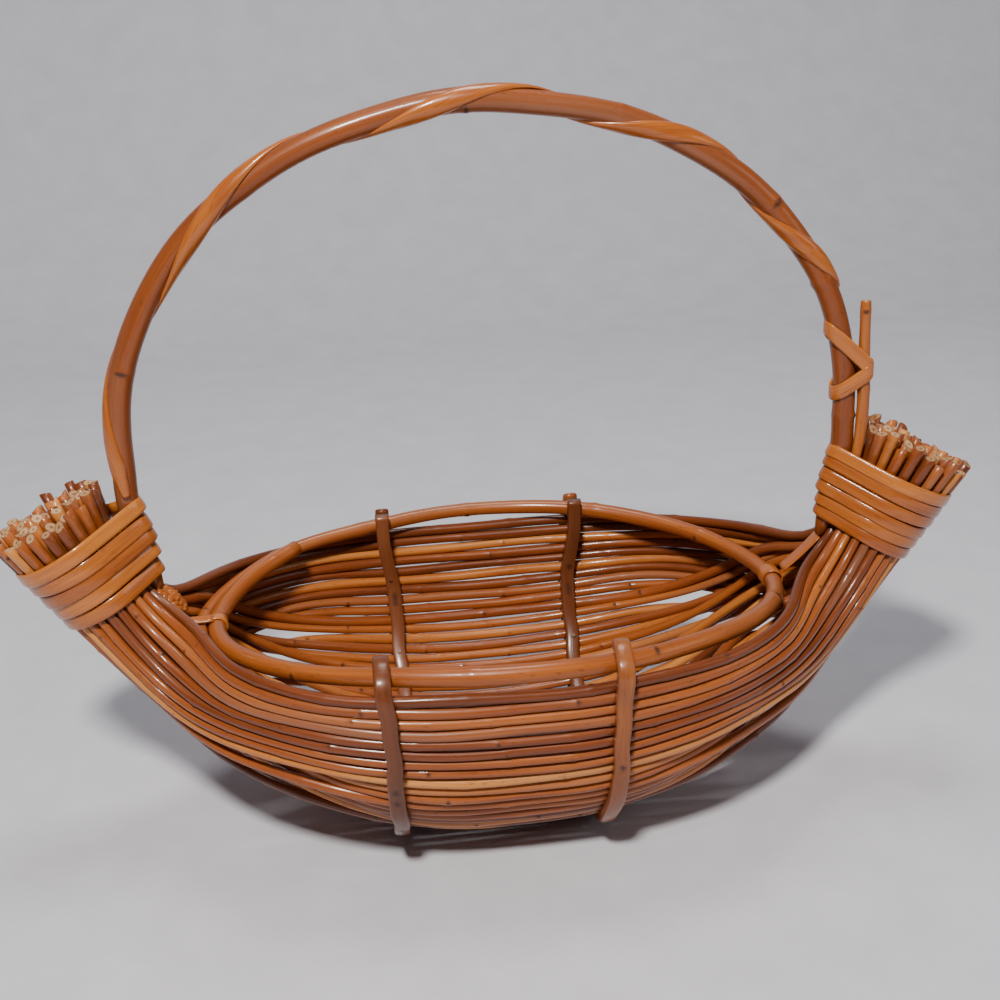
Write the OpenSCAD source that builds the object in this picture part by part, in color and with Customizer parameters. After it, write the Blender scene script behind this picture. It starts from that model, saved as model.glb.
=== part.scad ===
// Gondola-shaped rod basket: long willow rods lie side by side, are gathered
// at each end into an upturned bundle bound with flat cane, and are clamped
// in the middle between outer and inner ribs under an oval rim hoop.
// X runs along the rods, Y across the basket, Z up. The basket stands on z = 0.

/* [Body] */
// Distance between the two bundle centres at the collars' lower edges
bundle_span = 350; // [320:1:440]
// Height of the bundle centres at the collars' lower edges
bundle_height = 115; // [100:1:140]
// Lean of the bundle axis above the horizontal, in degrees
bundle_lean = 63.5; // [55:0.5:72]
// Rise of the rods' underside above the table at mid length
base_gap = 1.2; // [0.8:0.1:3]

/* [Rods] */
// Thickness of a rod at mid length
rod_d = 4.6; // [3.4:0.1:4.8]
// Thickness of a rod in the bundles
rod_tip_d = 3.96; // [3:0.02:4]
// Share by which a thin rod is thinner than a thick one
rod_vary = 0.1; // [0:0.01:0.25]
// Length of rod that stands out above a collar, for a middling rod
tip_out = 14; // [8:1:25]

/* [Rim hoop] */
// Length of the hoop between centrelines
hoop_length = 258; // [220:1:262]
// Width of the hoop between centrelines, which sets the basket's width
hoop_width = 184; // [160:1:230]
// Height of the hoop's centreline at mid length
hoop_height = 108; // [100:1:135]
// Drop of the hoop's ends below its middle
hoop_drop = 10; // [0:0.5:14]
// Thickness of the hoop along the front
hoop_d = 8.4; // [6:0.1:9]

/* [Ribs] */
// Distance between the left and right ribs at the rim
rib_span_top = 98; // [80:1:110]
// Distance between the left and right ribs at the base
rib_span_base = 87; // [70:1:110]
// Shift of both rib pairs towards the left on the front wall
rib_skew = 9; // [0:0.5:12]
// Width of a rib
rib_w = 6.8; // [5:0.1:9]
// Thickness of a rib
rib_t = 5; // [3:0.1:6]
// Thickness of the brads that hold each pair of ribs together
brad_d = 0.6; // [0.4:0.05:0.7]

/* [Handle] */
// Height of the handle's centreline at the top
handle_height = 323; // [280:1:400]
// Height at which the handle is widest
handle_spring = 186; // [175:1:200]
// Thickness of the handle pole
pole_d = 10.4; // [8:0.1:11]
// Width of the split cane wound round the pole, as an angle round the pole
wrap_angle = 84; // [40:1:120]
// Greatest thickness of the split cane
wrap_t = 1.9; // [1:0.1:2.5]
// Turns that the cane makes from the side rod to the left foot
wrap_turns = 4.3; // [2:0.1:8]

/* [Collars and ties] */
// Width of the flat binding cane
cane_w = 6.5; // [4:0.1:7]
// Thickness of the flat binding cane
cane_t = 1.1; // [0.6:0.1:1.6]
// Turns of cane in a collar
collar_turns = 5; // [3:1:5]
// Gap between one turn of a collar and the next
cane_gap = 0.35; // [0.2:0.05:0.6]

/* [Hidden] */

cane_colour = "#C98A45";
rod_colours = ["#B4713A", "#A5602E", "#C08448"];
hoop_colour = "#A9652F";
rib_colour = "#9E5A2A";
brad_colour = "#3A2A20";

// ---------------------------------------------------------------- vectors
function unit(v) = v / norm(v);
function mix(a, b, t) = a + (b - a) * t;
function power(v, p) = sign(v) * pow(abs(v), p);
function sum_to(v, last) = last < 0 ? 0 : v[last] + sum_to(v, last - 1);

// ------------------------------------------------- bundle and fan of rods
// The rods of a bundle sit in rings about the bundle's axis.
RING_COUNTS = [24, 17, 11, 5, 1];
RODS = 58;
ring_step = rod_tip_d + 0.45;
bundle_r = 4 * ring_step;
// Share of the ring radius by which the bundle widens for each millimetre along its axis
fan = 0.0078;
axis_dir = [cos(bundle_lean), sin(bundle_lean)];
inward_dir = [-sin(bundle_lean), cos(bundle_lean)];
bundle_centre = [bundle_span / 2, bundle_height];
// Length of the bundle axis that a collar covers
collar_len = collar_turns * (cane_w + cane_gap);

// Radius of the rods' outside at a distance along the bundle's axis
function bundle_reach(along) = bundle_r * (1 + fan * along) + rod_tip_d / 2;
// Point beside the bundle axis: along it, inwards towards the opening, and across
function bundle_point(along, inward, across) =
    let (p = bundle_centre + axis_dir * along + inward_dir * inward)
    [p[0], across, p[1]];

// Each rod is [place round the ring from -1 to 1, ring number, order key].
// Inner rings take their rods from the base, so only outer rods lie along the rim.
RING_PULL = [1, 0.27, 0.147, 0.132, 0];
unsorted_rods = [
    for (ring = [0:len(RING_COUNTS) - 1], i = [0:RING_COUNTS[ring] - 1])
        let (place = -1 + 2 * (i + 0.5) / RING_COUNTS[ring])
        [place, ring, place * RING_PULL[ring] + ring * 1e-6 + i * 1e-8]];
function rank(rod) = len([for (other = unsorted_rods) if (other[2] < rod[2]) 1]);
RANKS = [for (rod = unsorted_rods) rank(rod)];
BUNDLE_ROWS = [for (k = [0:RODS - 1]) unsorted_rods[search(k, RANKS)[0]]];

// --------------------------------------------------------- the wall's form
// At mid length the wall is half an oval with squared shoulders, from the
// front rim (-1) through the keel (0) to the back rim (1).
wall_power = 2.5;
wall_steps = 40;
wall_depth = hoop_height - hoop_d / 2 - rod_d - base_gap - 1;
wall_half = hoop_width / 2;
quarter = [for (i = [0:wall_steps]) let (a = 90 * i / wall_steps)
    [pow(cos(a), 2 / wall_power), pow(sin(a), 2 / wall_power)]];
quarter_lengths = [for (i = [1:wall_steps]) let (d = quarter[i] - quarter[i - 1])
    norm([d[0] * wall_half, d[1] * wall_depth])];
quarter_length = sum_to(quarter_lengths, wall_steps - 1);
side_table = [for (i = [0:wall_steps]) [sum_to(quarter_lengths, i - 1) / quarter_length, quarter[i][0]]];
depth_table = [for (i = [0:wall_steps]) [sum_to(quarter_lengths, i - 1) / quarter_length, quarter[i][1]]];
function wall_side(s) = sign(s) * lookup(1 - abs(s), side_table);
function wall_sink(s) = lookup(1 - abs(s), depth_table);

// Cross planes from mid length to the collar. Each lists the keel's and the
// rim rods' place as shares of their run, the half width between wall and
// bundle, how far the wall has closed into a ring, the spacing of the layers,
// and how far the rods have moved to their places round the bundle.
SHAPES = [
    [0,    0,     0,     0,    1,     0,   0,    0],
    [0.25, 0.039, 0.282, 0.02, 0.975, 0,   0,    0],
    [0.48, 0.174, 0.527, 0.06, 0.845, 0,   0.85, 0],
    [0.67, 0.367, 0.727, 0.22, 0.58,  0,   1.85, 0.245],
    [0.84, 0.643, 0.884, 0.58, 0.19,  0.5, 1.32, 0.945],
    [1,    1,     1,     1,    0,     1,   1,    1]];
keel_start = [0, base_gap + rod_d / 2];
rim_start = [0, keel_start[1] + wall_depth];
keel_end = bundle_centre - inward_dir * bundle_r;
rim_end = bundle_centre + inward_dir * bundle_r;
function plane_at(f) = [
    mix(keel_start[0], keel_end[0], f[0]), mix(keel_start[1], keel_end[1], f[1]),
    mix(rim_start[0], rim_end[0], f[2]), mix(rim_start[1], rim_end[1], f[3]),
    mix(bundle_r, wall_half, f[4]), f[5], f[6] * ring_step, f[7]];
PLANES = [for (f = SHAPES) plane_at(f)];
LAST = len(PLANES) - 1;
plane_gaps = [for (i = [1:LAST]) let (a = PLANES[i - 1], b = PLANES[i])
    norm([a[0] + a[2] - b[0] - b[2], a[1] + a[3] - b[1] - b[3]]) / 2];
RUNS = [for (i = [0:LAST]) sum_to(plane_gaps, i - 1)];
run_end = RUNS[LAST];

function slope(i) =
    i == 0 ? [1, 0, 1, 0, 0, 0, 0, 0] :
    i == LAST ? concat(axis_dir - inward_dir * fan * bundle_r,
        axis_dir + inward_dir * fan * bundle_r, [fan * bundle_r, 0, 0, 0]) :
    let (before = RUNS[i] - RUNS[i - 1], after = RUNS[i + 1] - RUNS[i])
    ((PLANES[i] - PLANES[i - 1]) * after / before + (PLANES[i + 1] - PLANES[i]) * before / after)
    / (before + after);
SLOPES = [for (i = [0:LAST]) slope(i)];

// Cross plane at a run measured along the basket's middle line
function plane(run) =
    let (i = max([for (j = [0:LAST - 1]) if (RUNS[j] <= run) j]),
         h = RUNS[i + 1] - RUNS[i], q = (run - RUNS[i]) / h)
    (2 * pow(q, 3) - 3 * q * q + 1) * PLANES[i] + (pow(q, 3) - 2 * q * q + q) * h * SLOPES[i]
    + (3 * q * q - 2 * pow(q, 3)) * PLANES[i + 1] + (pow(q, 3) - q * q) * h * SLOPES[i + 1];

// Place on the wall in a cross plane: across, and down from the rim line
function on_wall(p, deep, s) =
    let (closed = min(max(p[5], 0), 1))
    [p[4] * mix(wall_side(s), sin(180 * s), closed),
     -deep * mix(wall_sink(s), (1 + cos(180 * s)) / 2, closed)];

// Point of the wall at a run, a place s round it, and a distance inwards from it
function wall_point(run, s, inside) =
    let (p = plane(run), top = [p[2], p[3]], down = [p[0], p[1]] - top, deep = norm(down),
         step = 0.002, here = on_wall(p, deep, s),
         along = unit(on_wall(p, deep, s + step) - on_wall(p, deep, s - step)),
         y = here[0] - along[1] * inside, w = here[1] + along[0] * inside,
         xz = top - down / deep * w)
    [xz[0], y, xz[1]];

// Centre of rod k at a run; past the collar's lower edge the rods run straight
function rod_point(k, run) =
    let (row = BUNDLE_ROWS[k], inside_run = min(run, run_end - 0.001), p = plane(inside_run),
         mid_place = -1 + 2 * (k + 0.5) / RODS,
         moved = min(max(p[7], 0), 1),
         here = wall_point(inside_run, mix(mid_place, row[0], moved), row[1] * max(p[6], 0)),
         past = max(run - run_end, 0),
         centre = [bundle_centre[0], 0, bundle_centre[1]])
    centre + [axis_dir[0], 0, axis_dir[1]] * past + (here - centre) * (1 + fan * past);

// --------------------------------------------------------------- skinning
// Closed solid over a list of rings of equal length
module skin(rings) {
    n = len(rings[0]);
    m = len(rings);
    points = [for (ring = rings) each ring];
    sides = [for (i = [0:m - 2], j = [0:n - 1])
        let (a = i * n + j, b = i * n + (j + 1) % n) each [[a, a + n, b + n], [a, b + n, b]]];
    polyhedron(points, concat([[for (j = [0:n - 1]) j]], sides,
        [[for (j = [n - 1:-1:0]) (m - 1) * n + j]]), convexity = 6);
}

// Direction of a line of points at point i
function heading(points, i) = unit(points[min(i + 1, len(points) - 1)] - points[max(i - 1, 0)]);

// Ring of a round rod at a point; the ring's first axis stays near "across"
function round_ring(centre, dir, across, radius, sides) =
    let (u = unit(across - dir * (across * dir)), v = cross(dir, u))
    [for (j = [0:sides - 1]) centre + radius * (cos(360 * j / sides) * u + sin(360 * j / sides) * v)];

module round_rod(points, radii, across, sides) {
    skin([for (i = [0:len(points) - 1])
        round_ring(points[i], heading(points, i), across, radii[i], sides)]);
}

// -------------------------------------------------------------- long rods
ROD_SIDES = 7;
// Shares of the run at which a rod has a ring, from the middle to the collar
ROD_STOPS = [0.13, 0.27, 0.42, 0.56, 0.68, 0.79, 0.9, 1];
rod_random = rands(0, 1, RODS * 3, 41);

module rod(k) {
    thin = 1 - rod_vary * rod_random[k];
    left_end = run_end + collar_len + tip_out * (0.8 + 0.4 * rod_random[RODS + k]);
    right_end = run_end + collar_len + tip_out * (0.8 + 0.4 * rod_random[2 * RODS + k]);
    stops = concat([-left_end], [for (i = [len(ROD_STOPS) - 1:-1:0]) -ROD_STOPS[i] * run_end], [0],
        [for (f = ROD_STOPS) f * run_end], [right_end]);
    points = [for (run = stops) let (p = rod_point(k, abs(run))) [run < 0 ? -p[0] : p[0], p[1], p[2]]];
    radii = [for (run = stops) thin / 2 *
        lookup(abs(run) / run_end, [[0.25, rod_d], [0.62, rod_tip_d], [1, rod_tip_d]])];
    color(rod_colours[k % 3]) round_rod(points, radii, [0, 1, 0], ROD_SIDES);
}

module front_rod(i) {
    rod(i - 1);
}

module back_rod(i) {
    rod(RODS - i);
}

module base_rods(i) {
    for (k = [0:2]) rod(11 + 3 * i + k);
}

// --------------------------------------------------------------- rim hoop
hoop_power = 1.9;
// The hoop starts at a cut end at the back left, goes round once by the left
// end, the front and the right, and passes outside its own start.
hoop_from = 137;
hoop_to = 566;
hoop_lap = hoop_d * 0.86;
function hoop_out(a) = lookup(a, [[474, 0], [482, 0.2 * hoop_lap], [494, 0.85 * hoop_lap], [502, hoop_lap]]);
function hoop_r(a) = hoop_d / 2 * lookup(a, [[hoop_from, 0.9], [185, 0.93], [270, 1], [360, 0.94],
    [450, 0.84], [500, 0.76], [545, 0.7], [hoop_to, 0.25]]);
function hoop_point(a) =
    let (out = power(cos(a), 2 / hoop_power), side = power(sin(a), 2 / hoop_power),
         lift = lookup(a, [[hoop_from, 4], [168, 0]]))
    [(hoop_length / 2 + hoop_out(a)) * out, (wall_half + hoop_out(a)) * side,
     hoop_height - hoop_drop * out * out + lift];

module rim_hoop() {
    steps = 60;
    angles = [for (i = [0:steps]) mix(hoop_from, hoop_to, i / steps)];
    points = [for (a = angles) hoop_point(a)];
    color(hoop_colour) round_rod(points, [for (a = angles) hoop_r(a)], [0, 0, 1], 8);
}

// ------------------------------------------------------------------- ribs
// Play between the ribs and the rods; the inner ribs span the uneven layers
outer_space = 0.2;
inner_space = 0.9;
outer_off = rod_d / 2 + outer_space + rib_t / 2;
inner_off = rod_d / 2 + inner_space + rib_t / 2;
// Distance of a rib from mid length at a place on the wall; side is 1 at the
// right and -1 at the left, and the left ribs are drawn mirrored
function rib_shift(s) = rib_skew * sin(90 * min(1, max(0, -1.4 * s)));
function rib_x(side, s) = mix(rib_span_top, rib_span_base, wall_sink(s)) / 2 - side * rib_shift(s);
function rib_wall(side, s, inside) =
    wall_point(rib_x(side, s) / mix(SLOPES[0][2], SLOPES[0][0], wall_sink(s)), s, inside);
// Angle round the hoop, from its front or back, at which a rib crosses it
function hoop_cross(x) = acos(power(2 * x / hoop_length, hoop_power / 2));
// Point beside the hoop, at an angle from its inner side over its top
function by_hoop(centre, back, angle, away) =
    [centre[0], centre[1] - back * away * cos(angle), centre[2] + away * sin(angle)];
// Past bend_end a rib leaves the hoop and drops to the rods
bend_start = 42;
bend_step = 21;
bend_end = bend_start + 4 * bend_step;
bend_last = bend_start + 7 * bend_step;
function bend_away(radius, angle) =
    radius + rib_t / 2 + 0.15 + 4.4 * max(0, angle - bend_end - 12) / (bend_last - bend_end - 12);

// Place on the wall between two rods, at a count of rods from the front rim
function between(count) = 2 * count / RODS - 1;
function outer_line(side) =
    let (front = 360 - hoop_cross(rib_x(side, -1)), back = 360 + hoop_cross(rib_x(side, 1)))
    concat(
        [for (a = [bend_start:bend_step:bend_last])
            by_hoop(hoop_point(front), -1, a, bend_away(hoop_r(front), a))],
        [for (count = [1:2:RODS - 1]) rib_wall(side, between(count), -outer_off)],
        [for (a = [bend_last:-bend_step:bend_end])
            by_hoop(hoop_point(back), 1, a, bend_away(hoop_r(back), a))]);
function inner_line(side) =
    let (back = 360 + hoop_cross(rib_x(side, 1)), away = hoop_r(back) + rib_t / 2 + 0.4)
    concat(
        [for (count = [3:2:RODS - 5]) rib_wall(side, between(count), inner_off)],
        [for (z = [-7, 0, 7]) hoop_point(back) + [0, -away, z]]);

// Half-round strip along a line; its flat side faces the rods
module rib(line, round_side) {
    shape = [[-0.5, -0.5], [0.5, -0.5], [0.5, 0.1], [0.27, 0.5], [-0.27, 0.5], [-0.5, 0.1]];
    rings = [for (i = [0:len(line) - 1])
        let (dir = heading(line, i), u = unit([1, 0, 0] - dir * dir[0]), v = cross(dir, u) * round_side)
        [for (q = shape) line[i] + u * q[0] * rib_w * round_side + v * q[1] * rib_t]];
    skin(rings);
}

// Brads go in between rods, at these odd counts of rods down from the rims
BRAD_ROWS = [5, 13];
brad_places = [for (count = BRAD_ROWS) each [between(count), between(RODS - count)]];
// A brad's point is flush with the outer rib and its head lies on the inner one
function brad_tip(side, s) = rib_wall(side, s, -outer_off - rib_t / 2 + 0.4);
function brad_seat(side, s) = rib_wall(side, s, inner_off + rib_t / 2 + 0.7);
function brad_length(side, s) = norm(brad_seat(side, s) - brad_tip(side, s));

module along_brad(side, s) {
    tip = brad_tip(side, s);
    way = brad_seat(side, s) - tip;
    translate(tip) rotate([0, acos(way[2] / norm(way)), atan2(way[1], way[0])]) children();
}

module brad_holes(side) {
    for (s = brad_places) along_brad(side, s) translate([0, 0, -5])
        cylinder(r = brad_d / 2 + 0.03, h = brad_length(side, s) + 10, $fn = 24);
}

module outer_rib(side) {
    color(rib_colour) mirror([side < 0 ? 1 : 0, 0, 0]) difference() {
        rib(outer_line(side), -1);
        brad_holes(side);
        translate([0, 0, -10]) cube([400, 400, 20], center = true);
    }
}

module inner_rib(side) {
    color(rib_colour) mirror([side < 0 ? 1 : 0, 0, 0]) difference() {
        rib(inner_line(side), 1);
        brad_holes(side);
    }
}

module rib_brads() {
    head_r = 1.1;
    head_t = 0.5;
    color(brad_colour) for (side = [-1, 1], s = brad_places)
        mirror([side < 0 ? 1 : 0, 0, 0]) along_brad(side, s) {
            cylinder(r = brad_d / 2, h = brad_length(side, s), $fn = 24);
            translate([0, 0, brad_length(side, s)]) cylinder(r = head_r, h = head_t, $fn = 24);
        }
}

// ----------------------------------------------------------------- handle
pole_r = pole_d / 2;
// Radius of the pole's foot, from below the collar to its top
function foot_r(along) = pole_r * lookup(along / collar_len, [[-0.2, 0.5], [0, 0.68], [0.5, 0.94], [1, 1]]);
// Distance from the bundle's outer rods to the middle of the pole's foot
function foot_gap(along) = rod_tip_d / 2 + foot_r(along) + lookup(along / collar_len, [[0, 0.4], [1, 3.4]]);
function foot_inward(along) = bundle_r * (1 + fan * along) + foot_gap(along);
function foot_point(along) = bundle_point(along, foot_inward(along), 0);
foot_top = foot_point(collar_len);
handle_half = foot_top[0];
FOOT_STOPS = [-0.2, 0, 0.5, 1];
ARC_STEPS = 24;
handle_side = concat(
    [for (f = FOOT_STOPS) foot_point(f * collar_len)],
    [[handle_half, 0, (foot_top[2] + handle_spring) / 2]]);
handle_arc = [for (i = [0:ARC_STEPS]) let (a = 180 * i / ARC_STEPS)
    [handle_half * cos(a), 0, handle_spring + (handle_height - handle_spring) * sin(a)]];
handle_line = concat(handle_side, handle_arc,
    [for (i = [len(handle_side) - 1:-1:0]) [-handle_side[i][0], 0, handle_side[i][2]]]);
handle_radii = concat(
    [for (f = FOOT_STOPS) foot_r(f * collar_len)], [for (i = [0:ARC_STEPS + 2]) pole_r],
    [for (i = [len(FOOT_STOPS) - 1:-1:0]) foot_r(FOOT_STOPS[i] * collar_len)]);

module handle_pole() {
    color(hoop_colour) round_rod(handle_line, handle_radii, [0, 1, 0], 10);
}

// Short rod that stands against the front outer side of the pole's right leg
side_rod_r = 2.9;
side_rod_top = handle_spring + 43;
side_rod_turn = 28;
side_rod_away = pole_r + side_rod_r + 0.25;
// Point beside the pole's leg at a height, in the direction of the side rod
function beside_leg(height, away) =
    [handle_half + away * cos(side_rod_turn), -away * sin(side_rod_turn), height];
side_rod_low = bundle_point(0.55 * collar_len, bundle_reach(0.55 * collar_len) + 2.7, -7);
side_rod_mid = bundle_point(collar_len, bundle_reach(collar_len) + 3.1, -6.3);
side_rod_line = [side_rod_low, side_rod_mid, beside_leg(handle_spring - 12, side_rod_away + 0.3),
    beside_leg(handle_spring + 14, side_rod_away), beside_leg(side_rod_top, side_rod_away - 0.6)];

module handle_side_rod() {
    color(hoop_colour)
        round_rod(side_rod_line, side_rod_r * [0.66, 0.8, 1, 0.95, 0.8], [0, 1, 0], 8);
}

// Band of cane round the pole's right leg and the side rod
module side_rod_tie() {
    band_w = 7;
    color(cane_colour) translate([handle_half, 0, handle_spring - 3])
        rotate([0, 0, -side_rod_turn]) linear_extrude(height = band_w) difference() {
            polygon(pair_outline(pole_r, side_rod_away, side_rod_r, tie_space + strap_t));
            polygon(pair_outline(pole_r, side_rod_away, side_rod_r, tie_space));
        }
}

// Split cane wound round the pole from above the side rod to above the left collar
WRAP_STEPS = 120;
wrap_from = asin((side_rod_top + 5 - handle_spring) / (handle_height - handle_spring));
wrap_low = foot_top[2] + 3;
wrap_leg = 0.07;
wrap_line = [for (i = [0:WRAP_STEPS]) let (f = i / WRAP_STEPS)
    f > 1 - wrap_leg ? [-handle_half, 0, mix(wrap_low, handle_spring, (1 - f) / wrap_leg)] :
    let (a = mix(wrap_from, 180, f / (1 - wrap_leg)))
    [handle_half * cos(a), 0, handle_spring + (handle_height - handle_spring) * sin(a)]];

module handle_wrap() {
    inner_shares = [1, 0, -1];
    outer_shares = [-0.8, 0, 0.8];
    rings = [for (i = [0:WRAP_STEPS])
        let (c = wrap_line[i], dir = heading(wrap_line, i), u = [0, 1, 0], v = cross(dir, u),
             turn = 289 - 360 * wrap_turns * i / WRAP_STEPS, half = wrap_angle / 2,
             taper = min(1, 0.35 + min(i, WRAP_STEPS - i) / 6), r = pole_r + 0.8)
        concat(
            [for (q = inner_shares) let (b = turn + q * half * taper) c + r * (cos(b) * u + sin(b) * v)],
            [for (q = outer_shares) let (b = turn + q * half * taper)
                c + (r + wrap_t * taper * cos(75 * q)) * (cos(b) * u + sin(b) * v)])];
    color(cane_colour) skin(rings);
}

// ---------------------------------------------------------------- collars
collar_space = 0.4;
// Outline round the bundle and the pole's foot, in a plane across the bundle's
// axis: [inward, across] for the direction in which the outline faces
function collar_outline(along, angle) =
    let (n = [cos(angle), sin(angle)], bundle = bundle_reach(along) + collar_space,
         foot = [foot_inward(along), 0], r = foot_r(along) + collar_space)
    foot * n + r > bundle ? foot + r * n : bundle * n;
function collar_at(along, angle, out) =
    let (q = collar_outline(along, angle) + out * [cos(angle), sin(angle)])
    bundle_point(along, q[0], q[1]);

module collar() {
    wound = collar_turns - 0.9;
    steps = floor(wound * 24);
    rings = [for (i = [0:steps])
        let (turned = i / 24, angle = 196 + 360 * turned, low = turned * (cane_w + cane_gap))
        [collar_at(low, angle, 0), collar_at(low, angle, cane_t),
         collar_at(low + cane_w, angle, cane_t), collar_at(low + cane_w, angle, 0)]];
    color(cane_colour) skin(rings);
}

// ------------------------------------------------------------------- ties
tie_space = 0.4;
strap_t = 0.9;
strap_w = 7;
// Outline round two circles on the X axis, the second at a distance, both grown
function pair_outline(r1, apart, r2, grow) = [for (a = [0:15:345])
    let (n = [cos(a), sin(a)]) apart * n[0] + r2 > r1 ? [apart, 0] + (r2 + grow) * n : (r1 + grow) * n];

// Flat band across the basket's width direction, round one or two hoop rods
module hoop_strap(centre, r1, apart, r2, wide) {
    translate([centre[0], wide / 2, centre[2]]) rotate([90, 0, 0]) linear_extrude(height = wide)
        difference() {
            polygon(pair_outline(r1, apart, r2, tie_space + strap_t));
            polygon(pair_outline(r1, apart, r2, tie_space));
        }
}

module rim_tie_left() {
    start = hoop_point(180);
    color(cane_colour) mirror([1, 0, 0])
        hoop_strap([-start[0], 0, start[2]], hoop_r(180), hoop_lap, hoop_r(540), strap_w);
}

module rim_tie_right() {
    color(cane_colour) hoop_strap(hoop_point(360), hoop_r(360), 0, hoop_r(360), strap_w + 4);
}

// Ends of the short ties that run from the pole's feet to the hoop's ends
foot_low = foot_point(FOOT_STOPS[0] * collar_len);
foot_dir = unit(foot_point(0) - foot_low);
tie_top = foot_low - foot_dir * 0.3;
braid_r = 1.9;
braid_low = [hoop_length / 2 + hoop_lap + hoop_r(540) + 1.6, 0, hoop_point(540)[2] + 5];
braid_top = tie_top - foot_dir * braid_r * 0.7;

module braid_left() {
    middle = (braid_low + braid_top) / 2 - [0, 0, 1];
    line = [for (p = [braid_top, (braid_top + middle) / 2, middle, (middle + braid_low) / 2, braid_low])
        [-p[0], p[1], p[2]]];
    color(cane_colour) round_rod(line, [braid_r, braid_r, braid_r, braid_r, braid_r], [0, 1, 0], 8);
}

module foot_tie_right() {
    strip_t = 1;
    strip_w = 8;
    low = [hoop_length / 2 + hoop_r(360) + 1.4, hoop_point(360)[2] + 3.4];
    top = [tie_top[0] - 0.8, tie_top[2] - strip_t];
    way = unit(top - low);
    across = [-way[1], way[0]] * strip_t / 2;
    color(cane_colour) translate([0, strip_w / 2, 0]) rotate([90, 0, 0])
        linear_extrude(height = strip_w) polygon([low - across, top - across, top + across, low + across]);
}

for (i = [1:14]) front_rod(i);
for (i = [1:10]) base_rods(i);
for (i = [1:14]) back_rod(i);
rim_hoop();
outer_rib(-1);  // outer_rib_left
outer_rib(1);  // outer_rib_right
inner_rib(-1);  // inner_rib_left
inner_rib(1);  // inner_rib_right
rib_brads();
handle_pole();
handle_wrap();
handle_side_rod();
side_rod_tie();
mirror([1, 0, 0]) collar();  // collar_left
collar();  // collar_right
rim_tie_left();
braid_left();
rim_tie_right();
foot_tie_right();
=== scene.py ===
"""Looks of the boat-shaped rod basket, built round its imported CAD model.

Every swept CAD node gives back the centres and radii of its rings. Each one is
built again from them as a round, knotted, varnished willow rod, and the canes,
ribs and ties are laid on those rods the way they are laid on the real basket.
"""

import math
import random

import bmesh
import bpy
import numpy as np
from mathutils import Matrix, Vector


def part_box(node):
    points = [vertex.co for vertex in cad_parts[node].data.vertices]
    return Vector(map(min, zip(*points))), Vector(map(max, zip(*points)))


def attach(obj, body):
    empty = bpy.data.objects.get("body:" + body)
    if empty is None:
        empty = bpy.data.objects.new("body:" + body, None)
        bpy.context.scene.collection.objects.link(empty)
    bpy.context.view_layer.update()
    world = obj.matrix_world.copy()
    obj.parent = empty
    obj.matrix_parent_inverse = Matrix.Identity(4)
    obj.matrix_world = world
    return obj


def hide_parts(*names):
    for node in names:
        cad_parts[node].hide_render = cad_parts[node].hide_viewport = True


MM = 0.001
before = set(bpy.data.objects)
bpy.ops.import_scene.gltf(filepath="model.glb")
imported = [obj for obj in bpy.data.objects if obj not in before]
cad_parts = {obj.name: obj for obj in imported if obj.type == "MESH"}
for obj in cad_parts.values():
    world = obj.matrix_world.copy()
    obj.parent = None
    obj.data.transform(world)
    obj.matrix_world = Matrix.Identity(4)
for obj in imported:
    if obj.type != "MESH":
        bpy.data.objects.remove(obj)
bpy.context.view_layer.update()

TURN = 2 * math.pi
ANY_ANGLE = 6.28  # upper end of a random direction round a rod
ROD_SIDES = 12  # sides of a long rod's section; the thick rods have their own count
FRONT_RODS = ["front_rod_%d" % i for i in range(1, 15)]
BASE_RODS = ["base_rods_%d" % i for i in range(1, 11)]
BACK_RODS = ["back_rod_%d" % i for i in range(14, 0, -1)]


# ------------------------------------------------------------ small helpers
def unit(v):
    return v / max(np.linalg.norm(v), 1e-12)


def ease(x):
    x = min(max(x, 0.0), 1.0)
    return x * x * (3 - 2 * x)


class Path:
    """Smooth curve through points with a radius at each, measured by length."""

    def __init__(self, points, radii):
        self.points = np.array(points, float)
        self.radii = np.array(radii, float)
        self.t = np.concatenate(
            [[0], np.cumsum(np.linalg.norm(np.diff(self.points, axis=0), axis=1))]
        )
        self.length = self.t[-1]
        h = np.diff(self.t)
        n = len(self.t)
        a = np.eye(n)
        b = np.zeros((n, 3))
        for i in range(1, n - 1):
            a[i, i - 1 : i + 2] = h[i - 1], 2 * (h[i - 1] + h[i]), h[i]
            b[i] = 6 * (
                (self.points[i + 1] - self.points[i]) / h[i]
                - (self.points[i] - self.points[i - 1]) / h[i - 1]
            )
        self.bend = np.linalg.solve(a, b)

    def at(self, t):
        t = np.clip(np.asarray(t, float), 0, self.length)
        i = np.clip(np.searchsorted(self.t, t, side="right") - 1, 0, len(self.t) - 2)
        h = (self.t[i + 1] - self.t[i])[..., None]
        q = (t - self.t[i])[..., None]
        p, s = self.points, self.bend
        slope = (p[i + 1] - p[i]) / h - h * (2 * s[i] + s[i + 1]) / 6
        return p[i] + slope * q + s[i] * q**2 / 2 + (s[i + 1] - s[i]) * q**3 / (6 * h)

    def radius(self, t):
        return np.interp(t, self.t, self.radii)

    def direction(self, t):
        step = 0.5 * MM
        return unit(self.at(t + step) - self.at(t - step))

    def where_x(self, x):
        """Length along a path that runs towards +X at which it reaches x."""
        ts = np.linspace(0, self.length, 240)
        return float(np.interp(x, self.at(ts)[:, 0], ts))


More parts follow.
